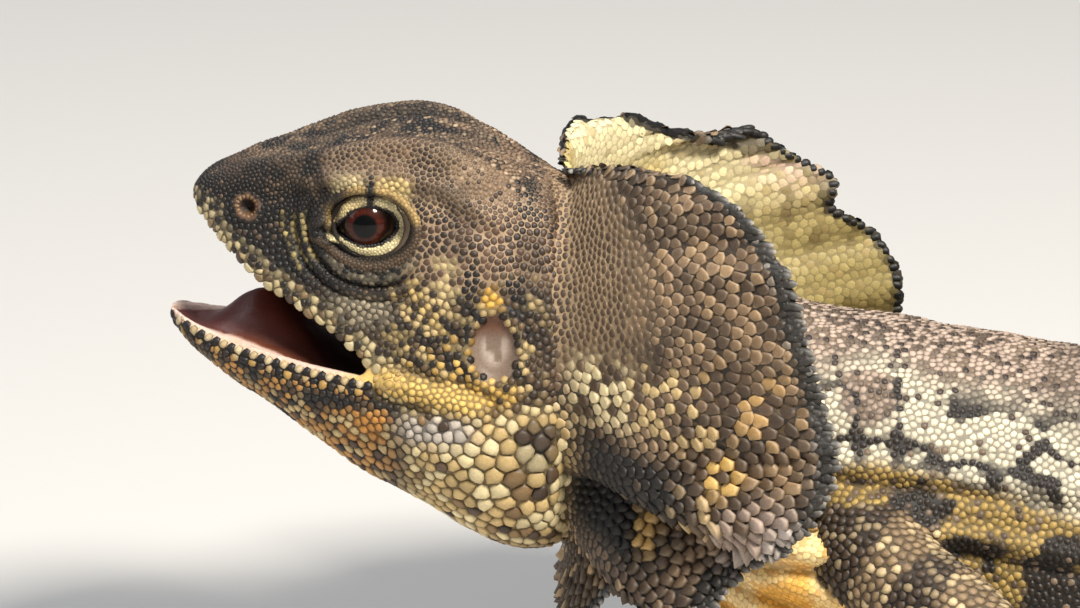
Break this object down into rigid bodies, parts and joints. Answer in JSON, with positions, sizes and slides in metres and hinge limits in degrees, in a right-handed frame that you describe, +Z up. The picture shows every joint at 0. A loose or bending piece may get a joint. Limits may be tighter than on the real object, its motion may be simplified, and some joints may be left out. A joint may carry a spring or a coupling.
{
  "type": "frilled lizard",
  "caption": "Life-size frilled lizard propped on its front legs, mouth open and frill folded back, long tail in a slow bend.",
  "frame": {"origin": "the floor point under the rear belly, at the middle of its flat, on the midline", "axes": "+Z up, the head points along -X, the animal's left side is -Y"},
  "size_m": [0.6614, 0.2224, 0.0968],
  "materials": {
    "head_skin": "brown granular scales with tan edges",
    "jaw_skin": "cream and yellow scales with dark gaps",
    "body_skin": "brown and cream scales with dark marks",
    "frill_skin": "large brown keeled scales outside, pale yellow inside, blackish toothed rim",
    "throat_fold": "orange pleated scales",
    "eye": "wet, dark red-brown iris with a round black pupil"
  },
  "bodies": {
    "root": {"head": "head_skin", "lower_jaw": "jaw_skin", "neck": "body_skin", "torso": "body_skin", "tail_base": "body_skin", "tail_middle": "body_skin", "tail_rear": "body_skin", "tail_tip": "body_skin", "upper_arm_left": "body_skin", "forearm_left": "body_skin", "hand_left": "body_skin", "thigh_left": "body_skin", "shank_left": "body_skin", "foot_left": "body_skin", "frill_left": "frill_skin", "frill_fold_left": "throat_fold", "eye_left": "eye", "upper_arm_right": "body_skin", "forearm_right": "body_skin", "hand_right": "body_skin", "thigh_right": "body_skin", "shank_right": "body_skin", "foot_right": "body_skin", "frill_right": "frill_skin", "frill_fold_right": "throat_fold", "eye_right": "eye"}
  },
  "joints": []
}
